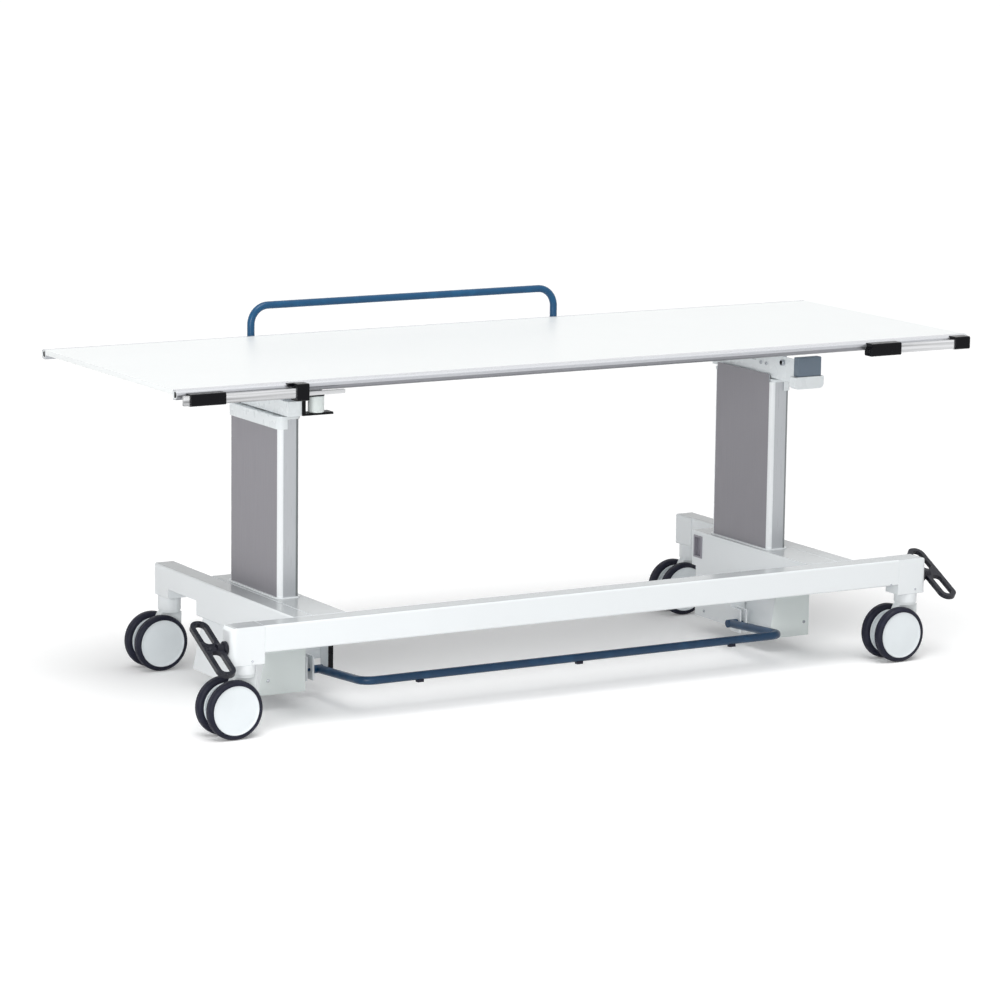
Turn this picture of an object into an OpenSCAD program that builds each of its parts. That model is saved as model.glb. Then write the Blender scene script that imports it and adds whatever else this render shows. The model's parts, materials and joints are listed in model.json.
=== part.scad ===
// Mobile angiography table with a floating top on two telescopic lift columns.
// X runs along the table, the user's side is -Y, Z is up and the floor is z = 0.

/* [Tabletop] */
// Length of the tabletop
table_l = 2370; // [2200:10:2500]
// Width of the tabletop over both edge profiles
table_w = 806; // [780:2:840]
// Height of the top face with the columns fully lowered
table_h = 878; // [870:1:900]
// Thickness of the carbon board
board_t = 14; // [12:1:16]
// Height of the edge profile along each long side
profile_h = 25; // [24:1:28]
// Width of the flat part of the edge profile, between board and rounded nose
profile_flat = 11.5; // [10:0.5:16]
// Travel of the tabletop along X to each side of its centre
float_x = 300; // [200:10:300]
// Travel of the tabletop along Y to each side of its centre
float_y = 80; // [40:5:80]

/* [Base] */
// Height of the deck and of both beams above the floor
base_top = 280; // [276:1:284]
// Distance of the front caster stems from the middle
stem_x_front = 1003; // [990:1:1020]
// Distance of the rear caster stems from the middle
stem_x_rear = 822; // [820:1:824]
// Distance of all caster stems from the centre line of the columns
stem_y = 400; // [394:1:406]
// Width of the front beam
beam_w = 60; // [56:1:64]
// Height of the front beam
beam_h = 70; // [66:1:74]
// Wall of the front beam
beam_wall = 4; // [3:1:5]
// Radius of the beams' long edges
edge_r = 5; // [3:0.5:6]
// Radius of the corner blocks' outer edges
block_r = 16; // [10:1:20]
// Distance of each foot beam's outer face from the middle
foot_out = 850; // [846:1:856]
// Width of a foot beam
foot_w = 56; // [52:1:60]
// Height of a foot beam
foot_h = 98; // [94:1:102]
// Distance of each column box's inner face from the middle
box_in = 700; // [696:1:704]
// Height of the column box's floor above the ground
box_low = 42; // [36:1:48]
// Sheet thickness of the column box
sheet = 4; // [3:1:4]
// Length of the corner block at each end of the front beam
block_l = 92; // [84:1:96]
// Height of the corner block
block_h = 97; // [94:1:99]
// Reach of the corner block beyond the caster post
block_over = 16; // [10:1:18]

/* [Lift columns] */
// Distance of each column's axis from the middle
col_x = 748; // [746:1:750]
// Width of the outer stage along X
col_w = 60; // [58:1:62]
// Depth of the outer stage along Y
col_d = 284; // [276:2:288]
// Corner radius of the outer stage
col_r = 14; // [11:1:16]
// Distance of each column's axis in front of the caster stems' centre line
col_forward = 10; // [4:1:16]
// Depth of the outer stages' top end below the tabletop's face
col_drop = 136; // [132:1:142]
// Wall of every stage
col_wall = 3; // [3:0.5:4]
// Gap between two stages, all round
col_gap = 1; // [0.6:0.1:1.4]
// Travel of the lift
lift = 250; // [150:10:300]
// Diameter of the lift spindle
spindle_d = 16; // [14:1:20]

/* [Floating carriage] */
// Width of the two cross members
cross_w = 40; // [38:1:44]
// Depth of the underside of the cross members below the tabletop's face
cross_drop = 125; // [122:1:126]
// Height of the cross members
cross_h = 38; // [36:1:39]
// Gap between the right cross member's web and the table guides
web_gap = 5; // [4:1:10]
// Rise of the right column's inner panel above its top end
panel_rise = 21; // [14:1:24]
// Diameter of the track rollers
roller_d = 32; // [28:1:34]
// Distance of the table guides from the centre line
guide_y = 165; // [160:1:175]
// Half length of the table guides
guide_half = 1068; // [1066:1:1100]

/* [Casters] */
// Diameter of the twin wheels
wheel_d = 150; // [140:2:150]
// Width of one wheel
wheel_w = 30; // [26:1:32]
// Gap between the two wheels
wheel_gap = 32; // [30:1:36]
// Trail of the axle behind the stem
trail = 40; // [34:1:44]
// Diameter of the posts that carry the casters
post_d = 62; // [58:1:66]

/* [Pedals and bars] */
// Length of a brake pedal's tread
tread_l = 212; // [196:1:218]
// Width of a tread
tread_w = 50; // [46:1:54]
// Thickness of a tread
tread_t = 12; // [10:1:14]
// Tilt of the treads at rest, rear end up
tread_tilt = 28; // [24:1:32]
// Height of the brake shaft
shaft_z = 226; // [224:1:230]
// Width of the hexagonal brake shaft across its corners
shaft_d = 14; // [12:1:16]
// Diameter of the foot bar's tube
bar_d = 22; // [20:1:24]
// Distance of the foot bar's arms from the middle
bar_x = 636; // [632:1:646]
// Diameter of the hand rail's tube
rail_d = 20; // [18:1:22]
// Length of the hand rail between its leg axes
rail_l = 938; // [800:10:1000]
// Height of the hand rail's axis above the tabletop
rail_rise = 76; // [66:1:90]

/* [Fits and small sizes] */
// Radial clearance of every running fit
fit = 0.05; // [0.03:0.01:0.1]
// Clearance under a piece that rests on another body
rest_gap = 0.3; // [0.2:0.05:0.5]
// Length of the raised underside behind the front beam
rise_l = 66; // [40:1:90]
// Height of the foot beams between the boxes and the heel blocks
tail_h = 58; // [54:1:62]
// Height of the heel block at each foot beam's rear end
heel_h = 84; // [80:1:90]
// Length of the heel blocks
heel_l = 80; // [70:1:90]
// How far the heel blocks stand proud of the foot beams' inner faces
heel_over = 1.5; // [1:0.5:3]
// Distance of the right box's low part inside the foot beam's outer face
cover_in = 20; // [10:1:24]
// How far the deck reaches behind the columns' centre line
deck_back = 200; // [190:1:204]
// How far the box reaches in front of the columns' centre line
box_front = 192; // [180:1:200]
// How far the box's low part reaches behind the columns' centre line
box_back = 180; // [150:1:188]
// Width of the notch beside each foot bar bracket
notch_w = 22; // [16:1:30]
// Start of that notch in front of the columns' centre line
notch_back = 60; // [50:1:70]
// Rake of one edge of the box's low part over its height
rake = 30; // [20:1:36]
// Rim around the box's front opening
cover_rim = 8; // [6:1:12]
// Thickness of the box's front cover
cover_t = 3; // [2:0.5:4]
// Width of the light lip around each column's foot
lip_w = 6; // [4:1:8]
// Height of that lip
lip_h = 3; // [2:0.5:4]
// Width of the mains inlet
inlet_w = 42; // [36:1:44]
// Height of the mains inlet
inlet_h = 62; // [50:1:64]
// Height of the mains inlet's lower edge
inlet_z = 206; // [200:1:208]
// Distance of the mains inlet from the deck's rear edge
inlet_edge = 9; // [6:1:20]
// Depth of the mains inlet's housing
inlet_t = 14; // [11:1:20]
// Distance of the lift motor's axis from the middle
motor_x = 790; // [776:1:800]
// Distance of the lift motor's axis behind the column's
motor_y = 62; // [50:1:80]
// Height of the nut in the innermost stage
nut_h = 12; // [10:1:20]
// Thickness of the cap on top of a column
head_t = 8; // [6:1:9]
// Start of the skirt beside the column's axis
skirt_in = 8; // [0:1:12]
// Depth of the skirt below the column's top end
skirt_drop = 25; // [12:1:42]
// Thickness of the skirt
skirt_t = 3; // [2:0.5:5]
// Gap between the skirt and the column
skirt_gap = 1; // [0.5:0.1:2]
// Distance of the runner blocks from the centre line
runner_y = 50; // [44:1:50]
// Wall of the cross members
cross_wall = 3; // [2.5:0.5:4]
// Width of the guides in the cross members
cross_guide_w = 18; // [14:1:20]
// Height of the guides in the cross members
cross_guide_h = 16; // [12:1:18]
// Side of the tie tubes
tie_w = 25; // [20:1:28]
// Wall of the table guides
guide_wall = 4; // [3:0.5:4.5]
// Width of the table guides
guide_w = 32; // [28:1:34]
// Play between the rollers and the guides' lower lip
lip_play = 1; // [0.5:0.1:1.5]
// Diameter of the rollers' axles
axle_d = 8; // [6:1:10]
// Distance of the long travel's brake from the middle
brake_x = 682; // [676:1:688]
// Distance of that brake in front of the centre line
brake_y = 168; // [160:1:176]
// Height of that brake's magnet
brake_h = 42; // [38:1:43]
// Wall of the edge profiles
profile_wall = 2.5; // [2:0.5:3]
// Thickness of the accessory rails
rail_t = 10; // [8:1:12]
// Height of the accessory rails
rail_h = 25; // [24:1:28]
// Depth of the left accessory rail's lower edge below the tabletop's face
rail_drop = 36; // [32:1:40]
// Distance of the left accessory rail's end from the tabletop's
rail_inset = 7; // [1:1:15]
// Gap between the edge profile and the accessory rails
rail_standoff = 14; // [12:1:18]
// Middle of the hand rail along the table
hand_x = -104; // [-300:10:300]
// Bend radius of the hand rail
hand_bend = 50; // [40:1:60]
// Length of the hand rail's legs, from its top axis down
hand_leg = 112; // [100:1:114]
// Gap between the corner blocks and the pedals' treads
pedal_gap = 13; // [12:1:18]
// Diameter of the pedals' hubs
hub_d = 26; // [22:1:30]
// Width of the band around a tread's slots
tread_band = 12; // [10:1:14]
// Length of the bridge between a tread's slots
tread_bridge = 30; // [24:1:40]
// Distance of the foot bar's pins in front of the columns' centre line
bar_back = 100; // [94:1:106]
// Height of the foot bar's pins
bar_z = 74; // [66:1:82]
// Length of the foot bar's arms, from pin to front axis
bar_reach = 250; // [230:1:260]
// Bend radius of the foot bar
bar_bend = 35; // [28:1:45]
// Rise of the foot bar's arms towards the front, in degrees
bar_rise = 3.6; // [2:0.1:5]
// Distance of the inner ear outside the foot bar's arm, to the arm's axis
ear_off = 20; // [18:1:24]
// Gap between the two ears that hold an end of the foot bar
ear_gap = 14; // [12:1:18]
// Thickness of the ears and of their web
ear_t = 5; // [4:0.5:6]
// Distance of the ears' web behind the pins
ear_reach = 31; // [26:1:32]
// Distance of the ears' front edge in front of the pins
ear_front = 15; // [12:1:18]
// Diameter of the foot bar's pins
pin_d = 8; // [6:1:10]
// Thickness of the caster's swivel head
fork_head_t = 6; // [5:0.5:8]
// Diameter of the caster's stem
stem_d = 12; // [10:1:16]
// Length of the stem above the swivel head
stem_h = 20; // [16:1:22]
// Diameter of the caster's axle
wheel_axle_d = 10; // [8:1:12]
// Radius of the wheels' cover disc
disc_r = 63; // [54:1:63]
// Radius of the tyre's shoulders
shoulder = 11; // [8:1:11]

/* [Hidden] */
$fn = 48;

// Overrun of every cut past the face that it opens
cut = 1;

// Reach of the pedals in front of the brake shaft, and of the casters beyond their stems
pedal_reach = tread_l / 2 * cos(tread_tilt) + tread_t / 2 * sin(tread_tilt);
caster_half = wheel_gap / 2 + wheel_w;

// Centre line of the columns, placed so that the whole table is centred on y = 0
cy = (pedal_reach - caster_half) / 2;
front_y = cy - stem_y;
rear_y = cy + stem_y;

// Base frame
block_out = stem_x_front + post_d / 2 + block_over;
block_in = block_out - block_l;
foot_in = foot_out - foot_w;
foot_low = base_top - foot_h;
deck_front = front_y + beam_w / 2;
deck_rear = cy + deck_back;
post_low = wheel_d + fork_head_t + 2.3;

// Heights counted down from the tabletop's face
col_top = table_h - col_drop;
cross_low = table_h - cross_drop;
cross_top = cross_low + cross_h;
skirt_low = col_top - skirt_drop;
rail_z = table_h - rail_drop;
table_end = table_l / 2;

// Lift columns
col_y = cy - col_forward;
col_base = foot_low + sheet;
step = 2 * (col_wall + col_gap);
mid_w = col_w - step;
mid_d = col_d - step;
mid_r = col_r - step / 2;
inner_w = mid_w - step;
inner_d = mid_d - step;
inner_r = mid_r - step / 2;
stage_low = col_base + rest_gap;
head_top = col_top + head_t;

// Floating carriage, counted down from the underside of the board
board_low = table_h - board_t;
profile_low = table_h - profile_h;
nose_r = profile_h / 2;
board_w = table_w - 2 * (nose_r + profile_flat);
roller_z = board_low - guide_wall - roller_d / 2 - fit;
guide_low = roller_z - roller_d / 2 - lip_play - guide_wall;
guide_out = guide_y + guide_w / 2;
guide_in = guide_y - guide_w / 2;
roller_out = guide_out - guide_wall - 3;
cross_front_left = cy - 180;
cross_front_right = cy - 245;
cross_rear = cy + 160;
cross_guide_low = cross_top - cross_wall - cross_guide_h;

// Table edge furniture
edge_y = table_w / 2;
rail_y = cy - edge_y - rail_standoff - rail_t;
hand_y = cy + edge_y + rail_d / 2 + 3;
hand_z = table_h + rail_rise;
tread_x = block_out + pedal_gap + tread_w / 2;

// Copies and mirrors
module side(s) {
    if (s < 0) mirror([1, 0, 0]) children();
    else children();
}

module both_sides() {
    side(1) children();
    side(-1) children();
}

module end(t) {
    if (t < 0) mirror([0, 1, 0]) children();
    else children();
}

module slab(x0, x1, y0, y1, z0, z1) {
    translate([x0, y0, z0]) cube([x1 - x0, y1 - y0, z1 - z0]);
}

module rod_x(x0, x1, d) {
    translate([x0, 0, 0]) rotate([0, 90, 0]) cylinder(d = d, h = x1 - x0);
}

module rod_y(y0, y1, d) {
    translate([0, y1, 0]) rotate([90, 0, 0]) cylinder(d = d, h = y1 - y0);
}

// Rectangle with round corners, centred
module round_rect(w, d, r) {
    square([w - 2 * r, d], center = true);
    square([w, d - 2 * r], center = true);
    for (x = [-1, 1], y = [-1, 1])
        translate([x * (w / 2 - r), y * (d / 2 - r)]) circle(r);
}

// Rounded rectangular tube of the front beam
module beam_section() {
    difference() {
        round_rect(beam_w, beam_h, edge_r);
        round_rect(beam_w - 2 * beam_wall, beam_h - 2 * beam_wall, 1);
    }
}

// Base frame
module front_beam() {
    color("whitesmoke")
        translate([-block_in, front_y, base_top - beam_h / 2])
            rotate([90, 0, 90]) linear_extrude(2 * block_in) beam_section();
}

// Moulded block that closes each end of the beam, carries the shaft and seats the caster post
module corner_blocks() {
    color("white")
        both_sides()
            difference() {
                intersection() {
                    translate([block_out - block_l / 2, front_y, base_top - block_h])
                        linear_extrude(block_h) {
                            round_rect(block_l, beam_w, block_r);
                            translate([-block_l / 2, -beam_w / 2]) square([block_l / 2, beam_w]);
                        }
                    translate([0, front_y + beam_w, 0])
                        rotate([90, 0, 0])
                            linear_extrude(2 * beam_w)
                                translate([block_out - block_l / 2, base_top - block_h / 2]) {
                                    round_rect(block_l, block_h, block_r);
                                    translate([-block_l / 2, -block_h / 2]) square([block_l / 2, block_h]);
                                    translate([0, -block_h / 2]) square([block_l / 2, block_h / 2]);
                                }
                }
                translate([0, front_y, shaft_z]) rod_x(block_in - cut, block_out + cut, shaft_d + 2 * fit);
            }
}

// Space under the raised underside, moved inwards by w, so that nothing shows below the front beam
module front_rise(w) {
    y0 = deck_front - cut;
    y1 = deck_front + w;
    beam_low = base_top - beam_h;
    rotate([90, 0, 90])
        linear_extrude(foot_out + cut)
            polygon([
                [y0, foot_low - cut], [y1 + rise_l, foot_low - cut], [y1 + rise_l, foot_low + w],
                [y1, beam_low + w], [y0, beam_low + w]
            ]);
}

// Space under the foot beam between the box and the heel block, and under that block
module heel_rise(w) {
    y0 = cy + box_back - w;
    y2 = rear_y + post_d / 2 + cut;
    y1 = y2 - cut - heel_l + w;
    z1 = base_top - tail_h + w;
    z2 = base_top - heel_h + w;
    rotate([90, 0, 90])
        linear_extrude(foot_out + cut)
            polygon([
                [y0, foot_low - cut], [y2, foot_low - cut], [y2, z2], [y1, z2], [y1, z1], [y0, z1]
            ]);
}

// Rounded bar in the place of a foot beam, shrunk by w
module foot_beam_solid(w, r) {
    end_y = rear_y + post_d / 2;
    translate([foot_out - foot_w / 2, end_y - w, base_top - foot_h / 2])
        rotate([90, 0, 0])
            linear_extrude(end_y - deck_front - 2 * w) round_rect(foot_w - 2 * w, foot_h - 2 * w, r);
}

module foot_beam(s) {
    color("whitesmoke")
        side(s)
            difference() {
                union() {
                    foot_beam_solid(0, edge_r);
                    translate([foot_in - heel_over, rear_y + post_d / 2, base_top])
                        rotate([90, 90, 0])
                            linear_extrude(heel_l)
                                translate([heel_h / 2, foot_w / 2]) round_rect(heel_h, foot_w, edge_r);
                }
                front_rise(0);
                heel_rise(0);
                difference() {
                    foot_beam_solid(beam_wall, 1);
                    front_rise(beam_wall);
                    heel_rise(beam_wall);
                }
            }
}

module left_foot_beam() foot_beam(-1);
module right_foot_beam() foot_beam(1);

// Front outline of a column box's low part, shrunk by w. Both boxes lean the same way in the
// world, so the right one is raked on its inner edge and the left one on its outer edge.
module low_outline(s, w, inner_top) {
    inner_low = s > 0 ? inner_top - rake : inner_top;
    outer_low = s > 0 ? foot_out - cover_in : foot_out + rake / 3;
    polygon([
        [max(inner_low, box_in) + w, box_low + w], [outer_low - w, box_low + w],
        [outer_low - (s > 0 ? 0 : rake) - w, foot_low], [inner_top + w, foot_low]
    ]);
}

module low_slab(s, w, inner_top, y0, y1) {
    translate([0, y1, 0]) rotate([90, 0, 0]) linear_extrude(y1 - y0) low_outline(s, w, inner_top);
}

// Sheet metal box that stiffens the base and holds the foot of a column
module column_box(s) {
    low_front = cy - box_front;
    low_rear = cy + box_back;
    notch_y = cy - notch_back;
    color("white")
        side(s)
            difference() {
                union() {
                    slab(box_in, foot_in, deck_front, deck_rear, foot_low, base_top);
                    low_slab(s, 0, box_in, notch_y, low_rear);
                    low_slab(s, 0, box_in + notch_w, low_front, notch_y);
                    translate([col_x, col_y, base_top])
                        linear_extrude(lip_h) round_rect(col_w + 2 * lip_w, col_d + 2 * lip_w, col_r + lip_w);
                }
                front_rise(0);
                difference() {
                    slab(box_in + sheet, foot_in - sheet, deck_front + sheet, deck_rear - sheet,
                        foot_low + sheet, base_top - sheet);
                    front_rise(sheet);
                }
                low_slab(s, sheet, box_in + notch_w, low_front + sheet, notch_y + sheet + cut);
                low_slab(s, sheet, box_in, notch_y + sheet, low_rear - sheet);
                intersection() {
                    low_slab(s, cover_rim, box_in + notch_w, low_front - cut, low_front + sheet + cut);
                    slab(box_in, foot_out + rake, low_front - cut, low_front + sheet + cut,
                        0, foot_low - cover_rim);
                }
                translate([col_x, col_y, base_top - sheet - cut])
                    linear_extrude(sheet + lip_h + 2 * cut)
                        round_rect(col_w + 2 * fit, col_d + 2 * fit, col_r + fit);
                translate([col_x, col_y, foot_low - cut])
                    cylinder(d = spindle_d + 2 * fit, h = sheet + 2 * cut);
                if (s > 0)
                    slab(box_in - cut, box_in + sheet + cut, deck_rear - inlet_edge - inlet_w,
                        deck_rear - inlet_edge, inlet_z, inlet_z + inlet_h);
            }
}

module left_column_box() column_box(-1);
module right_column_box() column_box(1);

// Front lid of each box, with its raked inner edge
module box_covers() {
    color("ivory")
        for (s = [-1, 1])
            side(s)
                low_slab(s, 1, box_in + notch_w, cy - box_front - cover_t, cy - box_front);
}

module caster_post(x, y, top) {
    translate([x, y, 0])
        difference() {
            translate([0, 0, post_low]) cylinder(d = post_d, h = top - post_low);
            translate([0, 0, post_low - cut]) cylinder(d = stem_d + 2 * fit, h = stem_h + 2 + cut);
        }
}

module caster_posts() {
    color("white")
        both_sides() {
            caster_post(stem_x_front, front_y, base_top - block_h);
            caster_post(stem_x_rear, rear_y, base_top - heel_h);
        }
}

// Mains inlet in the inner face of the right box
module mains_inlet() {
    y0 = deck_rear - inlet_edge - inlet_w;
    color("dimgray")
        difference() {
            slab(box_in - 2, box_in + inlet_t, y0, y0 + inlet_w, inlet_z, inlet_z + inlet_h);
            slab(box_in - 2 - cut, box_in + inlet_t - 4, y0 + 5, y0 + inlet_w - 5,
                inlet_z + 5, inlet_z + inlet_h - 5);
            for (z = [-1, 0, 1])
                translate([0, y0 + inlet_w / 2 + (z == 0 ? 5 : -5), inlet_z + inlet_h / 2 + 8 * z])
                    rod_x(box_in + inlet_t - 5, box_in + inlet_t - 1.5, 4);
        }
}

// Bracket that hangs from each box and carries one end of the foot bar
module bar_brackets() {
    web_y = cy - bar_back + ear_reach;
    ear_x = bar_x + ear_off;
    switch_x = bar_x - ear_off - 17;
    color("gainsboro")
        difference() {
            union() {
                both_sides() {
                    slab(ear_x, box_in, web_y, web_y + ear_t, bar_z - 22, foot_low + 22);
                    slab(box_in - ear_t, box_in, web_y - 30, web_y + 26, foot_low + 2, foot_low + 22);
                    for (x = [ear_x, ear_x + ear_t + ear_gap])
                        slab(x, x + ear_t, cy - bar_back - ear_front, web_y, bar_z - 26, bar_z + 38);
                }
                side(-1) slab(switch_x, ear_x, web_y, web_y + ear_t, bar_z + 20, foot_low + 22);
            }
            both_sides()
                translate([0, cy - bar_back, bar_z]) rod_x(0, box_in, pin_d + 2 * fit);
        }
}

// Switch that feels the foot bar, on the left bracket's web only
module bar_switch() {
    switch_x = bar_x - ear_off - 17;
    color("black")
        side(-1)
            slab(switch_x, switch_x + 15, cy - bar_back - 12, cy - bar_back + ear_reach, bar_z - 6, bar_z + 70);
}

// Geared motor under each column, with its drive to the spindle
module lift_motors() {
    gear_h = 30;
    color("darkgray")
        both_sides() {
            translate([col_x, col_y, foot_low - gear_h]) cylinder(r = 26, h = gear_h);
            translate([motor_x, cy + motor_y, foot_low - gear_h]) cylinder(r = 31, h = gear_h);
            slab(col_x, motor_x, col_y, cy + motor_y, foot_low - gear_h, foot_low);
            translate([motor_x, cy + motor_y, box_low + sheet])
                cylinder(d = 58, h = foot_low - gear_h - box_low - sheet);
        }
}

// Telescopic columns
module tube(w, d, r, z0, z1) {
    translate([col_x, col_y, z0])
        difference() {
            linear_extrude(z1 - z0) round_rect(w, d, r);
            translate([0, 0, -cut])
                linear_extrude(z1 - z0 + 2 * cut)
                    round_rect(w - 2 * col_wall, d - 2 * col_wall, max(r - col_wall, 1));
        }
}

module column_outer(s) {
    color("rosybrown")
        side(s) {
            tube(col_w, col_d, col_r, col_base, col_top);
            if (s > 0)
                slab(col_x - col_w / 2, col_x - col_w / 2 + col_wall, col_y - col_d / 2 + col_r,
                    col_y + col_d / 2 - col_r, col_top - cut, col_top + panel_rise);
        }
}

module column_middle(s) {
    color("silver") side(s) tube(mid_w, mid_d, mid_r, stage_low, col_top - 3);
}

// The innermost stage carries the nut in its floor
module column_inner(s) {
    color("silver")
        side(s) {
            tube(inner_w, inner_d, inner_r, stage_low, col_top);
            translate([col_x, col_y, stage_low])
                difference() {
                    linear_extrude(nut_h) round_rect(inner_w - 1, inner_d - 1, inner_r);
                    translate([0, 0, -cut]) cylinder(d = spindle_d + 2 * fit, h = nut_h + 2 * cut);
                }
        }
}

module left_column_outer() column_outer(-1);
module right_column_outer() column_outer(1);
module left_column_middle() column_middle(-1);
module right_column_middle() column_middle(1);
module left_column_inner() column_inner(-1);
module right_column_inner() column_inner(1);

module spindle(s) {
    color("gray")
        side(s)
            translate([col_x, col_y, foot_low + rest_gap])
                cylinder(d = spindle_d, h = lift + nut_h + 24);
}

module left_spindle() spindle(-1);
module right_spindle() spindle(1);

// Cap on top of a column, with a skirt round its outer side
module lift_head(s) {
    over = skirt_gap + skirt_t;
    color("white")
        side(s)
            translate([col_x, col_y, 0]) {
                difference() {
                    translate([0, 0, col_top])
                        linear_extrude(head_t) round_rect(col_w + 2 * over, col_d + 2 * over, col_r + over);
                    if (s > 0)
                        slab(-col_w, col_wall + skirt_gap - col_w / 2, -col_d, col_d, col_top - cut, head_top + cut);
                }
                intersection() {
                    translate([0, 0, skirt_low])
                        linear_extrude(head_top - skirt_low)
                            difference() {
                                round_rect(col_w + 2 * over, col_d + 2 * over, col_r + over);
                                round_rect(col_w + 2 * skirt_gap, col_d + 2 * skirt_gap, col_r + skirt_gap);
                            }
                    slab(skirt_in, col_w, -col_d, col_d, skirt_low, head_top);
                }
            }
}

module left_lift_head() lift_head(-1);
module right_lift_head() lift_head(1);

// Four runner blocks on the saddles, slotted for the cross guides
module cross_runners() {
    color("dimgray")
        both_sides()
            for (y = [-runner_y - col_forward, runner_y - col_forward])
                difference() {
                    slab(col_x - 15, col_x + 15, cy + y - 20, cy + y + 20, head_top, cross_top - cross_wall - 3);
                    slab(col_x - cross_guide_w / 2 - fit, col_x + cross_guide_w / 2 + fit,
                        cy + y - 20 - cut, cy + y + 20 + cut, cross_guide_low - fit, cross_top);
                }
}

// Channel across the top of a column that moves along Y
module cross_member(s, y0) {
    color("white")
        side(s)
            difference() {
                slab(col_x - cross_w / 2, col_x + cross_w / 2, y0, cross_rear, cross_low, cross_top);
                slab(col_x - cross_w / 2 + cross_wall, col_x + cross_w / 2 - cross_wall, y0 + cross_wall,
                    cross_rear - cross_wall, cross_low - cut, cross_top - cross_wall);
            }
}

module left_cross_member() cross_member(-1, cross_front_left);
module right_cross_member() {
    cross_member(1, cross_front_right);
    color("white")
        slab(col_x - cross_w / 2 - cross_wall, col_x - cross_w / 2, cross_front_right, cy - 60,
            cross_low, guide_low - web_gap);
}

module cross_guide(s, y0) {
    side(s)
        slab(col_x - cross_guide_w / 2, col_x + cross_guide_w / 2, y0 + cross_wall, cross_rear - cross_wall,
            cross_guide_low, cross_top - cross_wall);
}

module cross_guides() {
    color("silver") {
        cross_guide(-1, cross_front_left);
        cross_guide(1, cross_front_right);
    }
}

// Two square tubes that tie the cross members together
module tie_tubes() {
    color("silver")
        for (y = [cy + 12, cy + 100])
            difference() {
                slab(-col_x - cross_w / 2, col_x + cross_w / 2, y, y + tie_w, cross_top, cross_top + tie_w);
                slab(-col_x - cross_w / 2 - cut, col_x + cross_w / 2 + cut, y + 2, y + tie_w - 2,
                    cross_top + 2, cross_top + tie_w - 2);
            }
}

// Upright with a stub axle for each track roller
module roller_bracket(s, t) {
    side(s)
        translate([col_x, cy, 0])
            end(t) {
                slab(-cross_w / 2, cross_w / 2, guide_in - 9, guide_in - 1, cross_top, roller_z + 12);
                translate([0, 0, roller_z]) rod_y(guide_in - 1, roller_out, axle_d);
            }
}

module roller_brackets() {
    color("silver")
        for (s = [-1, 1], t = [-1, 1])
            roller_bracket(s, t);
}

module track_roller(s, t) {
    color("dimgray")
        side(s)
            translate([col_x, cy, roller_z])
                end(t)
                    difference() {
                        rod_y(guide_in + 1, roller_out, roller_d);
                        rod_y(guide_in, guide_out, axle_d + 2 * fit);
                    }
}

module roller_near_left() track_roller(-1, -1);
module roller_near_right() track_roller(1, -1);
module roller_far_left() track_roller(-1, 1);
module roller_far_right() track_roller(1, 1);

// Magnet that locks the tabletop's long travel
module float_brake() {
    color("white")
        side(-1)
            translate([brake_x, cy - brake_y, cross_low + 6])
                cylinder(d = 42, h = brake_h);
}

module float_brake_bracket() {
    x1 = col_x - cross_w / 2;
    y0 = cy - brake_y - 16;
    y1 = cy - brake_y + 19;
    top = cross_low + 6 + brake_h;
    color("black")
        side(-1) {
            slab(x1 - 88, x1, y0, y1, cross_low, cross_low + 6);
            slab(x1 - 9, x1, y0, y1, cross_low, top + 6);
            slab(x1 - 62, x1, y0, y1, top, top + 6);
            slab(x1 - 56, x1 - 24, y0 + 2, y1 - 4, top + 6, guide_low - 2 * rest_gap);
        }
}

// Magnet housing and tray on the front end of the right cross member
module cross_brake_box() {
    color("slategray")
        slab(col_x - 23, col_x + 52, cross_front_right - 22, cross_front_right, cross_low + 18, cross_low + 70);
}

module cross_brake_tray() {
    w = 95;
    h = 33;
    r = 13;
    color("white")
        translate([col_x - 36 + w / 2, cross_front_right, cross_low + 18 - h / 2])
            rotate([90, 0, 0])
                difference() {
                    linear_extrude(25)
                        union() {
                            round_rect(w, h, r);
                            translate([-w / 2, 0]) square([w, h / 2]);
                        }
                    translate([0, 3, 3])
                        linear_extrude(19)
                            union() {
                                round_rect(w - 6, h - 6, r - 3);
                                translate([3 - w / 2, 0]) square([w - 6, h / 2]);
                            }
                }
}

// Tabletop
module tabletop_board() {
    color("white")
        slab(-table_l / 2, table_l / 2, cy - board_w / 2, cy + board_w / 2, board_low, table_h);
}

// Section of the edge profile, shrunk by w, with its nose towards -x
module nose_section(w) {
    intersection() {
        translate([-edge_y + nose_r, nose_r]) circle(nose_r - w);
        translate([-edge_y, 0]) square([nose_r, profile_h]);
    }
    translate([-edge_y + nose_r, w]) square([profile_flat - w, profile_h - 2 * w]);
}

module edge_solid(w, x0, x1) {
    translate([x0, cy, profile_low])
        rotate([90, 0, 90])
            linear_extrude(x1 - x0) nose_section(w);
}

module opposite_edge() {
    translate([0, 2 * cy, 0]) mirror([0, 1, 0]) children();
}

module edge_profile() {
    difference() {
        edge_solid(0, -table_l / 2, table_l / 2);
        edge_solid(profile_wall, -table_l / 2 - cut, table_l / 2 + cut);
    }
}

module edge_profiles() {
    color("silver") {
        edge_profile();
        opposite_edge() edge_profile();
    }
}

module edge_plug_pair() {
    both_sides() edge_solid(profile_wall, table_l / 2 - 12, table_l / 2);
}

module edge_plugs() {
    color("black") {
        edge_plug_pair();
        opposite_edge() edge_plug_pair();
    }
}

// Inward channel under each side of the board, in which the rollers run
module table_guide() {
    y0 = cy - guide_out;
    y1 = cy - guide_in;
    slab(-guide_half, guide_half, y0, y0 + guide_wall, guide_low, board_low);
    slab(-guide_half, guide_half, y0, y1, board_low - guide_wall, board_low);
    slab(-guide_half, guide_half, y0, y1, guide_low, guide_low + guide_wall);
}

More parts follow.
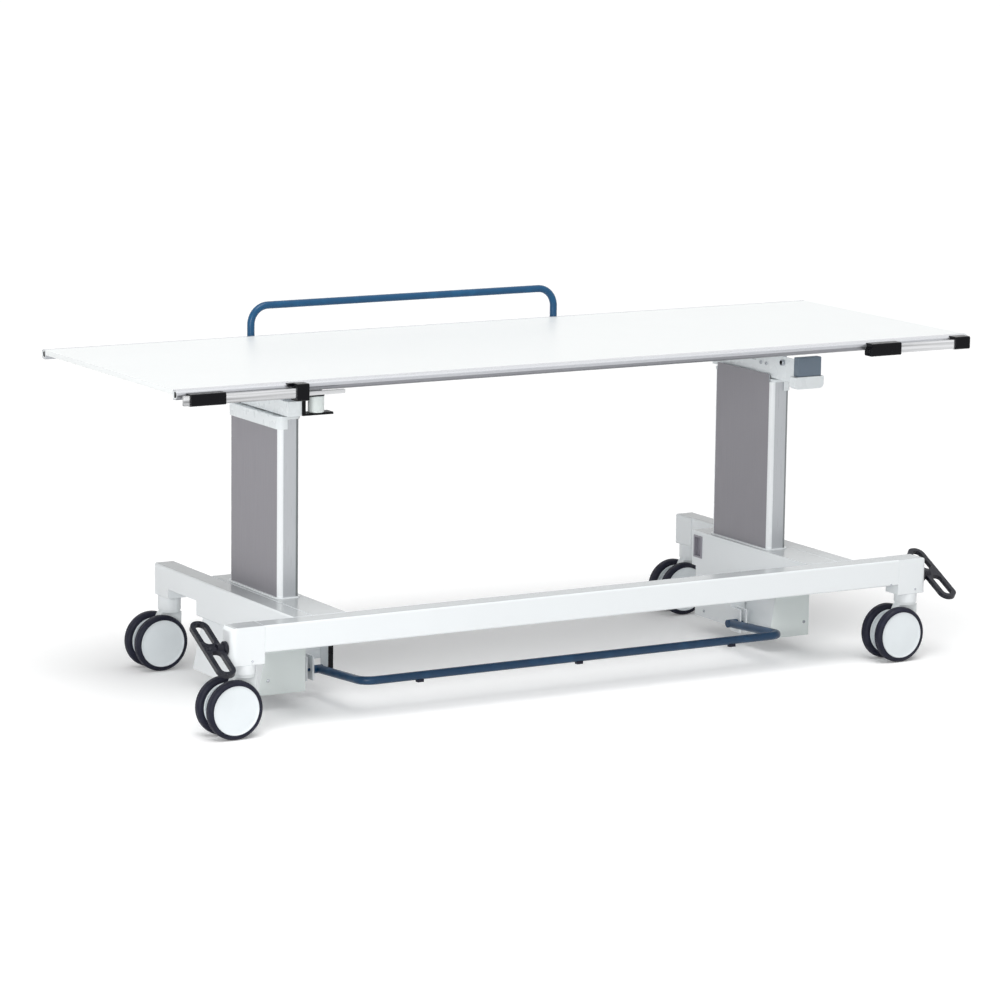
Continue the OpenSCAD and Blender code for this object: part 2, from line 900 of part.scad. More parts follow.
module table_guides() {
    color("silver") {
        table_guide();
        opposite_edge() table_guide();
    }
}

module accessory_rail_left() {
    slab(rail_inset - table_end, 335 - table_end, rail_y, rail_y + rail_t, rail_z, rail_z + rail_h);
    slab(335 - table_end, 450 - table_end, rail_y, rail_y + rail_t, rail_z + 4, rail_z + 14);
}

module accessory_rail_right() {
    slab(table_end - 285, table_end - 35, rail_y, rail_y + rail_t, rail_z + 3, rail_z + 3 + rail_h);
}

module accessory_rails() {
    color("silver") {
        accessory_rail_left();
        accessory_rail_right();
    }
}

// Holder on the table's edge, rounded in front, hollowed to the profile's nose and to the rail
module rail_block(x0, x1, z0, z1) {
    y0 = rail_y - 5;
    y1 = cy - edge_y + 8;
    translate([x0, (y0 + y1) / 2, (z0 + z1) / 2])
        rotate([90, 0, 90])
            linear_extrude(x1 - x0) round_rect(y1 - y0, z1 - z0, 5);
}

module rail_blocks() {
    color("black")
        difference() {
            union() {
                rail_block(24 - table_end, 119 - table_end, rail_z - 2, rail_z + rail_h + 3);
                rail_block(314 - table_end, 347 - table_end, rail_z - 8, rail_z + rail_h + 10);
                slab(299 - table_end, 325 - table_end, cy - edge_y - 6, cy - edge_y + 8,
                    rail_z + rail_h + 2, rail_z + rail_h + 10);
                rail_block(table_end - 335, table_end - 241, rail_z - 2, rail_z + rail_h + 7);
                rail_block(table_end - 61, table_end - 15, rail_z + 1, rail_z + rail_h + 10);
            }
            edge_solid(0, -table_l / 2, table_l / 2);
            accessory_rail_left();
            accessory_rail_right();
        }
}

// Blue tube along the far edge
module hand_rail() {
    half = rail_l / 2;
    color("steelblue")
        translate([hand_x, hand_y, hand_z]) {
            rod_x(-half + hand_bend, half - hand_bend, rail_d);
            for (s = [-1, 1])
                side(s) {
                    translate([half - hand_bend, 0, -hand_bend])
                        rotate([90, 0, 0])
                            rotate_extrude(angle = 90) translate([hand_bend, 0]) circle(d = rail_d);
                    translate([half, 0, -hand_leg]) cylinder(d = rail_d, h = hand_leg - hand_bend);
                }
        }
}

module hand_rail_sockets() {
    color("darkslategray")
        for (s = [-1, 1])
            difference() {
                translate([hand_x + s * rail_l / 2, 0, 0])
                    slab(-15, 15, cy + edge_y - 8, hand_y + rail_d / 2 + 4, table_h - 38, table_h - 6);
                opposite_edge() edge_solid(0, -table_l / 2, table_l / 2);
                translate([hand_x + s * rail_l / 2, hand_y, hand_z - hand_leg]) cylinder(d = rail_d, h = 60);
            }
}

// Brake shaft and pedals
module brake_shaft() {
    color("gray")
        translate([0, front_y, shaft_z])
            rotate([0, 90, 0])
                cylinder(d = shaft_d, h = 2 * (tread_x - 16), center = true, $fn = 6);
}

// Tread with two slots, flat in its own plane
module tread() {
    slot_w = tread_w - 2 * tread_band;
    slot_l = (tread_l - 2 * tread_band - tread_bridge) / 2;
    linear_extrude(tread_t)
        difference() {
            round_rect(tread_w, tread_l, tread_w / 2 - 1);
            for (y = [-1, 1])
                translate([0, y * (tread_bridge + slot_l) / 2])
                    round_rect(slot_w, slot_l, slot_w / 2 - 1);
        }
}

module brake_pedals() {
    color("black")
        both_sides()
            translate([0, front_y, shaft_z])
                difference() {
                    union() {
                        translate([tread_x, 0, 0])
                            rotate([tread_tilt, 0, 0])
                                translate([0, 0, -tread_t / 2]) tread();
                        rod_x(block_out + 2, tread_x - 10, hub_d);
                    }
                    rotate([0, 90, 0])
                        cylinder(d = shaft_d + 0.1, h = tread_x - 16, $fn = 6);
                }
}

// Foot bar, turned about its pins so that its front rises
module bar_frame() {
    translate([0, cy - bar_back, bar_z]) rotate([-bar_rise, 0, 0]) children();
}

module foot_bar() {
    run = bar_x - bar_bend;
    color("steelblue")
        bar_frame() {
            translate([0, -bar_reach, 0]) rod_x(-run, run, bar_d);
            both_sides() {
                translate([run, -bar_reach + bar_bend, 0])
                    mirror([0, 1, 0])
                        rotate_extrude(angle = 90) translate([bar_bend, 0]) circle(d = bar_d);
                translate([bar_x, 0, 0]) rod_y(-bar_reach + bar_bend, 0, bar_d);
                rod_x(bar_x - bar_d / 2, bar_x + ear_off - 0.5, bar_d);
                rod_x(bar_x, bar_x + ear_off + 2 * ear_t + ear_gap + 2, pin_d);
            }
        }
}

// Rubber bumpers under the foot bar
module foot_bar_bumpers() {
    color("black")
        bar_frame()
            for (x = [161 - bar_x, 0, bar_x - 161])
                difference() {
                    slab(x - 9, x + 9, -bar_reach - 7, -bar_reach + 7, -bar_d / 2 - 6, -bar_d / 4);
                    translate([0, -bar_reach, 0]) rod_x(x - 10, x + 10, bar_d);
                }
}

// Twin wheel casters
module caster_fork(x, y) {
    body_w = wheel_gap - 4;
    head_z = wheel_d + 2;
    color("white")
        translate([x, y, 0]) {
            translate([0, 0, head_z]) cylinder(d = post_d - 4, h = fork_head_t);
            translate([0, 0, head_z]) cylinder(d = stem_d, h = fork_head_t + stem_h);
            translate([0, body_w / 2, 0])
                rotate([90, 0, 0])
                    linear_extrude(body_w) {
                        translate([-trail, wheel_d / 2]) circle(24);
                        polygon([
                            [-29, head_z], [29, head_z], [28, head_z - 46], [6, wheel_d / 2 - 14],
                            [-trail + 18, wheel_d / 2 - 16], [-trail - 22, wheel_d / 2 + 9]
                        ]);
                    }
            translate([-trail, 0, wheel_d / 2]) rod_y(-caster_half + 3, caster_half - 3, wheel_axle_d);
        }
}

module caster_fork_fl() caster_fork(-stem_x_front, front_y);
module caster_fork_fr() caster_fork(stem_x_front, front_y);
module caster_fork_rl() caster_fork(-stem_x_rear, rear_y);
module caster_fork_rr() caster_fork(stem_x_rear, rear_y);

// One wheel with its tyre: round shoulders, a seam between tyre and disc, a blind axle bore
module wheel(x, y, t) {
    r = wheel_d / 2;
    color("gainsboro")
        translate([x - trail, y + t * (wheel_gap / 2 + wheel_w / 2), r])
            rotate([-t * 90, 0, 0])
                difference() {
                    rotate_extrude($fn = 96) {
                        translate([0, -wheel_w / 2]) square([r - shoulder, wheel_w]);
                        translate([0, -wheel_w / 2 + shoulder]) square([r, wheel_w - 2 * shoulder]);
                        for (z = [-1, 1])
                            translate([r - shoulder, z * (wheel_w / 2 - shoulder)]) circle(shoulder);
                    }
                    translate([0, 0, -wheel_w / 2 - cut])
                        cylinder(d = wheel_axle_d + 2 * fit, h = wheel_w - 2 + cut);
                    translate([0, 0, wheel_w / 2 - 1])
                        difference() {
                            cylinder(r = disc_r + 1, h = 2);
                            cylinder(r = disc_r, h = 2);
                        }
                }
}

module wheel_fl_near() wheel(-stem_x_front, front_y, -1);
module wheel_fl_far() wheel(-stem_x_front, front_y, 1);
module wheel_fr_near() wheel(stem_x_front, front_y, -1);
module wheel_fr_far() wheel(stem_x_front, front_y, 1);
module wheel_rl_near() wheel(-stem_x_rear, rear_y, -1);
module wheel_rl_far() wheel(-stem_x_rear, rear_y, 1);
module wheel_rr_near() wheel(stem_x_rear, rear_y, -1);
module wheel_rr_far() wheel(stem_x_rear, rear_y, 1);

front_beam();
corner_blocks();
left_foot_beam();
right_foot_beam();
left_column_box();
right_column_box();
box_covers();
caster_posts();
mains_inlet();
bar_brackets();
bar_switch();
lift_motors();
left_column_outer();
right_column_outer();
left_column_middle();
right_column_middle();
left_column_inner();
right_column_inner();
left_spindle();
right_spindle();
left_lift_head();
right_lift_head();
cross_runners();
left_cross_member();
right_cross_member();
cross_guides();
tie_tubes();
roller_brackets();
roller_near_left();
roller_near_right();
roller_far_left();
roller_far_right();
float_brake();
float_brake_bracket();
cross_brake_box();
cross_brake_tray();
tabletop_board();
edge_profiles();
edge_plugs();
table_guides();
accessory_rails();
rail_blocks();
hand_rail();
hand_rail_sockets();
brake_shaft();
brake_pedals();
foot_bar();
foot_bar_bumpers();
caster_fork_fl();
caster_fork_fr();
caster_fork_rl();
caster_fork_rr();
wheel_fl_near();
wheel_fl_far();
wheel_fr_near();
wheel_fr_far();
wheel_rl_near();
wheel_rl_far();
wheel_rr_near();
wheel_rr_far();
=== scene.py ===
"""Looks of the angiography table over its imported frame: studio, finishes and dressed pieces."""
import json
import logging
import math
from collections.abc import Callable
from dataclasses import dataclass
from enum import Enum

import bmesh
import bpy
from mathutils import Matrix, Vector


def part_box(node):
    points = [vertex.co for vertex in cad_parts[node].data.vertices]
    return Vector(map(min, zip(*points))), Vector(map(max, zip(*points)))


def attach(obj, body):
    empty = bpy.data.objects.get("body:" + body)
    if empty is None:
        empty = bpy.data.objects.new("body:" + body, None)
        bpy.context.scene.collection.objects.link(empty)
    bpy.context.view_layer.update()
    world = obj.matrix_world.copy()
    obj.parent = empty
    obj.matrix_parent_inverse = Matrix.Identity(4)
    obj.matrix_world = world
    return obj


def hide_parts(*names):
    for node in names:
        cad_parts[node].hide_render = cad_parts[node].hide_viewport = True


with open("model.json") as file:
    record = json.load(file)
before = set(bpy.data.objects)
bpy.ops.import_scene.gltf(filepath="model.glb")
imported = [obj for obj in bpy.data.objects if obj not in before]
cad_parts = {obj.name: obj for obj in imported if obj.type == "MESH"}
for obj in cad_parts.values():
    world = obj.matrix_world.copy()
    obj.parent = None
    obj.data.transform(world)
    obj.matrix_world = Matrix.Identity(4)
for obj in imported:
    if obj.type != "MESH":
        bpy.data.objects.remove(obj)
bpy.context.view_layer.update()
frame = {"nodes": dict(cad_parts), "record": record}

LOG = logging.getLogger("angiography_table")
RECORD = frame["record"]
BODY_OF = {node: body for body, nodes in RECORD["behaviour"]["bodies"].items() for node in nodes}
SLOT_OF = {part["node"]: part["material_slot"] for part in RECORD["subparts"]}
Colour = tuple[float, float, float]
SIDES = (-1, 1)
MIX_FACTOR, MIX_FIRST, MIX_SECOND, MIX_RESULT = 0, 6, 7, 2  # sockets of a Mix node that blends colours
MERGED_BELOW = 2e-5  # metres between corners of a copied node that become one
FLAT_BELOW = 0.5  # degrees between faces of a copied node that become one
ROUNDED_ABOVE = 32.0  # degrees past which soften rounds an edge


class Axis(Enum):
    """Direction in the part's frame."""

    X = 0
    Y = 1
    Z = 2

    def vector(self) -> Vector:
        """Returns the unit vector of the direction."""
        return Vector([float(i == self.value) for i in range(3)])


def srgb(red: int, green: int, blue: int) -> Colour:
    """Turns an 8-bit screen colour into the linear colour that a shader takes.

    Args:
        red, green, blue: channels from 0 to 255.

    Returns:
        The linear colour.
    """
    return tuple(((c / 255 + 0.055) / 1.055) ** 2.4 if c > 10 else c / 3294.6 for c in (red, green, blue))


class Recipe:
    """Node tree of one finish, in the part's own coordinates."""

    def __init__(self, name: str, colour: Colour, roughness: float, metallic: float = 0.0) -> None:
        """Starts a material.

        Args:
            name: the material's name.
            colour: linear base colour.
            roughness: base roughness.
            metallic: share of metal.
        """
        self.material = bpy.data.materials.new(name)
        self.material.use_nodes = True
        self.material.diffuse_color = (*colour, 1.0)
        self.nodes = self.material.node_tree.nodes
        self.links = self.material.node_tree.links
        self.shader = self.nodes["Principled BSDF"]
        self.shader.inputs["Base Color"].default_value = (*colour, 1.0)
        self.shader.inputs["Roughness"].default_value = roughness
        self.shader.inputs["Metallic"].default_value = metallic
        self.place = self.nodes.new("ShaderNodeTexCoord").outputs["Object"]

    def stretched(self, scale: tuple[float, float, float]) -> bpy.types.NodeSocket:
        """Scales the coordinates.

        Args:
            scale: factor per axis.

        Returns:
            The scaled coordinates.
        """
        mapping = self.nodes.new("ShaderNodeMapping")
        mapping.inputs["Scale"].default_value = scale
        self.links.new(self.place, mapping.inputs["Vector"])
        return mapping.outputs["Vector"]

    def noise(self, scale: float, detail: float = 2.0,
              stretch: tuple[float, float, float] | None = None) -> bpy.types.NodeSocket:
        """Adds a noise pattern.

        Args:
            scale: waves per metre.
            detail: number of octaves.
            stretch: factor per axis, or None for an even pattern.

        Returns:
            Its value from 0 to 1.
        """
        texture = self.nodes.new("ShaderNodeTexNoise")
        texture.inputs["Scale"].default_value = scale
        texture.inputs["Detail"].default_value = detail
        self.links.new(self.stretched(stretch) if stretch else self.place, texture.inputs["Vector"])
        return texture.outputs["Fac"]

    def span(self, value: bpy.types.NodeSocket, low: float, high: float,
             start: float = 0.3, stop: float = 0.7) -> bpy.types.NodeSocket:
        """Maps a pattern to another range.

        Args:
            value: the pattern.
            low, high: the new range, not exceeded.
            start, stop: the pattern's values that reach its ends.

        Returns:
            The mapped value.
        """
        ranged = self.nodes.new("ShaderNodeMapRange")
        for name, number in (("From Min", start), ("From Max", stop), ("To Min", low), ("To Max", high)):
            ranged.inputs[name].default_value = number
        self.links.new(value, ranged.inputs["Value"])
        return ranged.outputs["Result"]

    def shade(self, factor: bpy.types.NodeSocket, first: Colour, second: Colour) -> None:
        """Blends the base colour between two colours.

        Args:
            factor: the blend, 0 for first and 1 for second.
            first, second: linear colours.
        """
        mix = self.nodes.new("ShaderNodeMix")
        mix.data_type = "RGBA"
        mix.inputs[MIX_FIRST].default_value = (*first, 1.0)
        mix.inputs[MIX_SECOND].default_value = (*second, 1.0)
        self.links.new(factor, mix.inputs[MIX_FACTOR])
        self.links.new(mix.outputs[MIX_RESULT], self.shader.inputs["Base Color"])

    def gloss(self, roughness: bpy.types.NodeSocket) -> None:
        """Lets a pattern set the roughness."""
        self.links.new(roughness, self.shader.inputs["Roughness"])

    def relief(self, height: bpy.types.NodeSocket, strength: float, depth: float) -> None:
        """Lets a pattern raise the surface.

        Args:
            height: the pattern.
            strength: share of the effect.
            depth: depth in metres.
        """
        bump = self.nodes.new("ShaderNodeBump")
        bump.inputs["Strength"].default_value = strength
        bump.inputs["Distance"].default_value = depth
        self.links.new(height, bump.inputs["Height"])
        self.links.new(bump.outputs["Normal"], self.shader.inputs["Normal"])


def tinted(colour: Colour, factor: float) -> Colour:
    """Returns the colour made lighter or darker by a factor."""
    return tuple(min(1.0, c * factor) for c in colour)


@dataclass(frozen=True)
class PowderCoat:
    """Baked paint with a fine orange peel."""

    name: str
    colour: Colour
    roughness: float = 0.36
    shade: float = 0.95
    peel: float = 420.0
    relief: float = 0.025

    def make(self) -> bpy.types.Material:
        """Returns the material."""
        recipe = Recipe(self.name, self.colour, self.roughness)
        clouds = recipe.span(recipe.noise(4.5, 3.0), 0.0, 1.0)
        recipe.shade(clouds, self.colour, tinted(self.colour, self.shade))
        recipe.gloss(recipe.span(recipe.noise(24.0, 2.0), self.roughness - 0.02, self.roughness + 0.05))
        recipe.relief(recipe.noise(self.peel, 0.0), self.relief, 0.0001)
        return recipe.material


@dataclass(frozen=True)
class MouldedPlastic:
    """Injection moulded plastic with a spark-eroded grain."""

    name: str
    colour: Colour
    roughness: float = 0.48
    grain: float = 1100.0
    depth: float = 0.0003
    specular: float = 0.5

    def make(self) -> bpy.types.Material:
        """Returns the material."""
        recipe = Recipe(self.name, self.colour, self.roughness)
        recipe.shader.inputs["Specular IOR Level"].default_value = self.specular
        recipe.shade(recipe.span(recipe.noise(9.0, 3.0), 0.0, 1.0), self.colour, tinted(self.colour, 0.93))
        recipe.gloss(recipe.span(recipe.noise(60.0, 5.0), self.roughness - 0.07, self.roughness + 0.1))
        recipe.relief(recipe.noise(self.grain, 2.0), 0.3, self.depth)
        return recipe.material


@dataclass(frozen=True)
class BrushedMetal:
    """Metal with drawn or ground lines along one axis."""

    name: str
    colour: Colour
    along: Axis
    roughness: float = 0.34
    metallic: float = 1.0
    contrast: float = 0.9
    lines: float = 900.0

    def make(self) -> bpy.types.Material:
        """Returns the material."""
        recipe = Recipe(self.name, self.colour, self.roughness, self.metallic)
        stretch = tuple(0.012 if i == self.along.value else 1.0 for i in range(3))
        drawn = recipe.noise(self.lines, 3.0, stretch)
        recipe.shade(recipe.span(drawn, 0.0, 1.0), self.colour, tinted(self.colour, self.contrast))
        recipe.gloss(recipe.span(drawn, self.roughness - 0.05, self.roughness + 0.09))
        recipe.relief(drawn, 0.12, 0.0002)
        return recipe.material


@dataclass(frozen=True)
class Chrome:
    """Polished plate with faint cloudiness."""

    name: str
    colour: Colour
    roughness: float = 0.12

    def make(self) -> bpy.types.Material:
        """Returns the material."""
        recipe = Recipe(self.name, self.colour, self.roughness, 1.0)
        recipe.shade(recipe.span(recipe.noise(22.0, 4.0), 0.0, 1.0), self.colour, tinted(self.colour, 0.92))
        recipe.gloss(recipe.span(recipe.noise(70.0, 5.0), self.roughness, self.roughness + 0.12))
        return recipe.material


@dataclass(frozen=True)
class GlossPaint:
    """Stove enamel under a clear coat, a little scuffed."""

    name: str
    colour: Colour
    worn: Colour

    def make(self) -> bpy.types.Material:
        """Returns the material."""
        recipe = Recipe(self.name, self.colour, 0.34)
        recipe.shader.inputs["Specular IOR Level"].default_value = 0.35
        recipe.shader.inputs["Coat Weight"].default_value = 0.1
        recipe.shader.inputs["Coat Roughness"].default_value = 0.12
        recipe.shade(recipe.span(recipe.noise(26.0, 6.0), 0.0, 1.0, 0.5, 0.78), self.colour, self.worn)
        recipe.relief(recipe.noise(520.0, 1.0), 0.12, 0.0003)
        return recipe.material


@dataclass(frozen=True)
class Rubber:
    """Matt rubber with a bloom of dust."""

    name: str
    colour: Colour
    dusty: Colour

    def make(self) -> bpy.types.Material:
        """Returns the material."""
        recipe = Recipe(self.name, self.colour, 0.62)
        recipe.shader.inputs["Specular IOR Level"].default_value = 0.3
        recipe.shade(recipe.span(recipe.noise(34.0, 6.0), 0.0, 1.0, 0.52, 0.8), self.colour, self.dusty)
        recipe.gloss(recipe.span(recipe.noise(80.0, 4.0), 0.44, 0.68))
        recipe.relief(recipe.noise(900.0, 3.0), 0.35, 0.0003)
        return recipe.material


class Workshop:
    """Makes each finish once and hands it out by name."""

    def __init__(self) -> None:
        """Lists the finishes of this table."""
        recipes = (
            PowderCoat("powder_white", srgb(237, 241, 243), 0.2, 0.985),
            # Greyer copy of the base's white powder coat: painted shade of the board over the deck faces.
            PowderCoat("deck_painted_shade", srgb(190, 194, 196), 0.2, 0.96, 300.0, 0.015),
            PowderCoat("cover_white", srgb(239, 246, 244), 0.3, 0.97),
            PowderCoat("member_white", srgb(239, 244, 246), 0.26, 0.98, 420.0, 0.01),
            MouldedPlastic("cap_white", srgb(240, 245, 246), 0.3, 500.0, 0.00005),
            MouldedPlastic("disc_white", srgb(234, 240, 243), 0.36, 500.0, 0.0001),
            PowderCoat("board_laminate", srgb(247, 250, 250), 0.34, 0.99),
            MouldedPlastic("black_plastic", srgb(8, 8, 13), 0.26, 900.0, 0.0001, 0.13),
            MouldedPlastic("pedal_black", srgb(24, 25, 35), 0.3, 900.0, 0.0001, 0.3),
            MouldedPlastic("inlet_grey", srgb(156, 154, 163), 0.5, 900.0, 0.0001),
            MouldedPlastic("slate_housing", srgb(110, 124, 138), 0.46),
            BrushedMetal("column_taupe", srgb(143, 141, 147), Axis.Z, 0.42, 0.2, 0.96),
            # Lighter copy of the silver aluminium: painted highlight on the columns' -X corners.
            BrushedMetal("column_highlight_corner", srgb(244, 247, 249), Axis.Z, 0.3, 0.05, 0.98),
            BrushedMetal("column_silver", srgb(190, 193, 197), Axis.Z, 0.32, 0.5, 0.96),
            # Darker copy of the silver aluminium: painted shade on the columns' +X corners.
            BrushedMetal("column_shaded_corner", srgb(128, 133, 135), Axis.Z, 0.32, 0.5, 0.96),
            BrushedMetal("stage_aluminium", srgb(184, 188, 194), Axis.Z, 0.34, 0.8),
            BrushedMetal("profile_aluminium", srgb(222, 224, 228), Axis.X, 0.26, 0.7),
            # Two darker copies of the profile aluminium: painted shade down the lower nose of the edge
            # profiles.
            BrushedMetal("profile_half_shade", srgb(196, 198, 203), Axis.X, 0.28, 0.7),
            BrushedMetal("profile_shadow", srgb(142, 143, 148), Axis.X, 0.3, 0.7),
            BrushedMetal("bare_steel", srgb(176, 180, 186), Axis.Z, 0.36, 1.0),
            BrushedMetal("shaft_steel", srgb(178, 182, 188), Axis.X, 0.36, 1.0),
            # Dark streaks along the accessory rails: brushing lines, made deep enough to paint reflection
            # bands on the chrome.
            BrushedMetal("rail_chrome", srgb(238, 239, 241), Axis.X, 0.14, 0.9, 0.28, 110.0),
            Chrome("bolt_chrome", srgb(196, 199, 204), 0.2),
            # One blue paint in two copies: the foot bar's darker one is painted shade under the base, the
            # hand rail's lighter one painted light up by the board.
            GlossPaint("bar_blue_shaded", srgb(3, 50, 82), srgb(7, 61, 96)),
            GlossPaint("rail_blue_lit", srgb(10, 74, 114), srgb(16, 88, 130)),
            Rubber("tyre_black", srgb(14, 16, 35), srgb(28, 31, 51)),
        )
        self.recipes = {recipe.name: recipe for recipe in recipes}
        self.made: dict[str, bpy.types.Material] = {}

    def get(self, name: str) -> bpy.types.Material:
        """Hands out a finish, made at its first use.

        Args:
            name: the finish.

        Returns:
            Its material.
        """
        if name not in self.made:
            self.made[name] = self.recipes[name].make()
        return self.made[name]


WORKSHOP = Workshop()
# Parts in blue paint default to its darker copy, which carries painted shade.
LOOK_OF_SLOT = {"wheel_white": "disc_white", "board_white": "board_laminate", "blue_paint": "bar_blue_shaded"}


def publish(shape: bmesh.types.BMesh, name: str, body: str, slot: str, looks: list[str],
            stands_for: tuple[str, ...] = (), sharp: float = 42.0) -> bpy.types.Object:
    """Turns a finished bmesh into a piece of the table.

    Args:
        shape: the bmesh, which is freed.
        name: the piece's name.
        body: the body that it rides on.
        slot: the record's material slot; not used.
        looks: finishes in the order of the faces' material indices.
        stands_for: the nodes that it replaces.
        sharp: angle in degrees past which an edge stays sharp.

    Returns:
        The piece.
    """
    mesh = bpy.data.meshes.new(name)
    for face in shape.faces:
        face.smooth = True
    shape.to_mesh(mesh)
    shape.free()
    mesh.set_sharp_from_angle(angle=math.radians(sharp))
    for look in looks:
        mesh.materials.append(WORKSHOP.get(look))
    piece = bpy.data.objects.new(name, mesh)
    bpy.context.scene.collection.objects.link(piece)
    weighted = piece.modifiers.new("even_normals", "WEIGHTED_NORMAL")
    weighted.keep_sharp = True
    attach(piece, body)
    if stands_for:
        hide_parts(*stands_for)
    LOG.info("%s: %d faces on %s", name, len(mesh.polygons), body)
    return piece


def copy_of(node: str) -> bmesh.types.BMesh:
    """Copies a node's mesh, merged and with its flat faces joined.

    Args:
        node: the node.

    Returns:
        The copy.
    """
    shape = bmesh.new()
    shape.from_mesh(frame["nodes"][node].data)
    bmesh.ops.remove_doubles(shape, verts=shape.verts, dist=MERGED_BELOW)
    bmesh.ops.dissolve_limit(shape, angle_limit=math.radians(FLAT_BELOW),
                             verts=shape.verts, edges=shape.edges)
    return shape


def soften(shape: bmesh.types.BMesh, width: float, segments: int = 2) -> None:
    """Rounds the sharp edges of a closed shape.

    Args:
        shape: the bmesh to round.
        width: width of the rounding in metres.
        segments: faces across the rounding.
    """
    steep = math.radians(ROUNDED_ABOVE)
    edges = [e for e in shape.edges if e.is_manifold and e.calc_face_angle(0.0) > steep]
    bmesh.ops.bevel(shape, geom=edges, offset=width, offset_type="OFFSET", segments=segments,
                    profile=0.5, affect="EDGES", material=-1, clamp_overlap=True)


def dress(node: str, look: str | None = None, width: float = 0.0008, sharp: float = 42.0) -> bpy.types.Object:
    """Stands a soft-edged copy in for a node.

    Args:
        node: the node.
        look: its finish, or None for that of its slot.
        width: width of the rounded edges in metres, 0 for none.
        sharp: angle in degrees past which an edge stays sharp.

    Returns:
        The piece.
    """
    shape = copy_of(node)
    if width:
        soften(shape, width)
    slot = SLOT_OF[node]
    return publish(shape, "dressed_" + node, BODY_OF[node], slot,
                   [look or LOOK_OF_SLOT.get(slot, slot)], (node,), sharp)


def banded(node: str, width: float, looks: list[str],
           band: Callable[[bmesh.types.BMFace], int]) -> bpy.types.Object:
    """Stands a soft-edged copy in for a node, with its finish chosen face by face.

    Args:
        node: the node.
        width: width of the rounded edges in metres.
        looks: the finishes.
        band: gives the place of a face's finish among them.

    Returns:
        The piece.
    """
    shape = copy_of(node)
    soften(shape, width)
    shape.normal_update()
    for face in shape.faces:
        face.material_index = band(face)
    return publish(shape, "dressed_" + node, BODY_OF[node], SLOT_OF[node], looks, (node,))


def turned(profile: list[tuple[float, float]], centre: Vector, axis: Axis, segments: int = 64,
           closed: bool = False) -> bmesh.types.BMesh:
    """Spins a profile of (radius, height) points about an axis.

    Args:
        profile: the points, from one end to the other.
        centre: where the axis passes at height 0.
        axis: direction of the axis.
        segments: steps round.
        closed: whether the last point joins the first.

    Returns:
        A closed shape with its faces outwards.
    """
    shape = bmesh.new()
    up = axis.vector()
    out = Vector((1, 0, 0)) if axis is not Axis.X else Vector((0, 0, 1))
    verts = [shape.verts.new(centre + out * r + up * h) for r, h in profile]
    edges = [shape.edges.new(pair) for pair in zip(verts, verts[1:])]
    if closed:
        edges.append(shape.edges.new((verts[-1], verts[0])))
    bmesh.ops.spin(shape, geom=verts + edges, cent=centre, axis=up, dvec=(0, 0, 0),
                   angle=math.tau, steps=segments, use_merge=True)
    bmesh.ops.remove_doubles(shape, verts=shape.verts, dist=1e-6)
    bmesh.ops.recalc_face_normals(shape, faces=shape.faces)
    return shape


def arc(radius: float, height: float, size: float, start: float, stop: float,
        steps: int = 5) -> list[tuple[float, float]]:
    """Lists the points of an arc in a profile.

    Args:
        radius, height: the arc's centre.
        size: its own radius.
        start, stop: its angles in degrees, 0 pointing outwards.
        steps: points between its ends.

    Returns:
        The points.
    """
    angles = [math.radians(start + (stop - start) * i / steps) for i in range(steps + 1)]
    return [(radius + size * math.cos(a), height + size * math.sin(a)) for a in angles]


@dataclass
class SocketScrew:
    """Pan head screw with a hexagon socket."""

    radius: float = 0.004
    height: float = 0.0022
    socket: float = 0.0019
    crown: float = 0.4
    land: float = 0.6
    lip: float = 0.08
    bore: float = 0.55
    sunk: float = 0.0002

    def place(self, name: str, at: Vector, facing: Vector, body: str, slot: str,
              look: str = "bolt_chrome") -> bpy.types.Object:
        """Makes the screw.

        Args:
            name: the piece's name.
            at: the middle of its seat.
            facing: direction that its head faces.
            body: the body that it rides on.
            slot: the record's material slot.
            look: its finish.

        Returns:
            The piece.
        """
        shape = bmesh.new()
        bmesh.ops.create_cone(shape, cap_ends=True, segments=24, radius1=self.radius,
                              radius2=self.radius, depth=self.height)
        top = max(shape.faces, key=lambda f: f.calc_center_median().z)
        bmesh.ops.bevel(shape, geom=list(top.edges), offset=self.height * self.crown, segments=3,
                        profile=0.5, affect="EDGES", material=-1)
        top = max(shape.faces, key=lambda f: f.calc_center_median().z)
        rim = max(1e-4, self.radius * self.land - self.socket)
        bmesh.ops.inset_individual(shape, faces=[top], thickness=rim)
        top = max((f for f in shape.faces if len(f.verts) > 4), key=lambda f: f.calc_center_median().z)
        bmesh.ops.inset_individual(shape, faces=[top], thickness=self.radius * self.lip,
                                   depth=-self.height * self.bore)
        turn = Vector((0, 0, 1)).rotation_difference(facing).to_matrix().to_4x4()
        middle = at + facing * (self.height / 2 - self.sunk)
        bmesh.ops.transform(shape, matrix=Matrix.Translation(middle) @ turn, verts=shape.verts)
        return publish(shape, name, body, slot, [look], sharp=50.0)


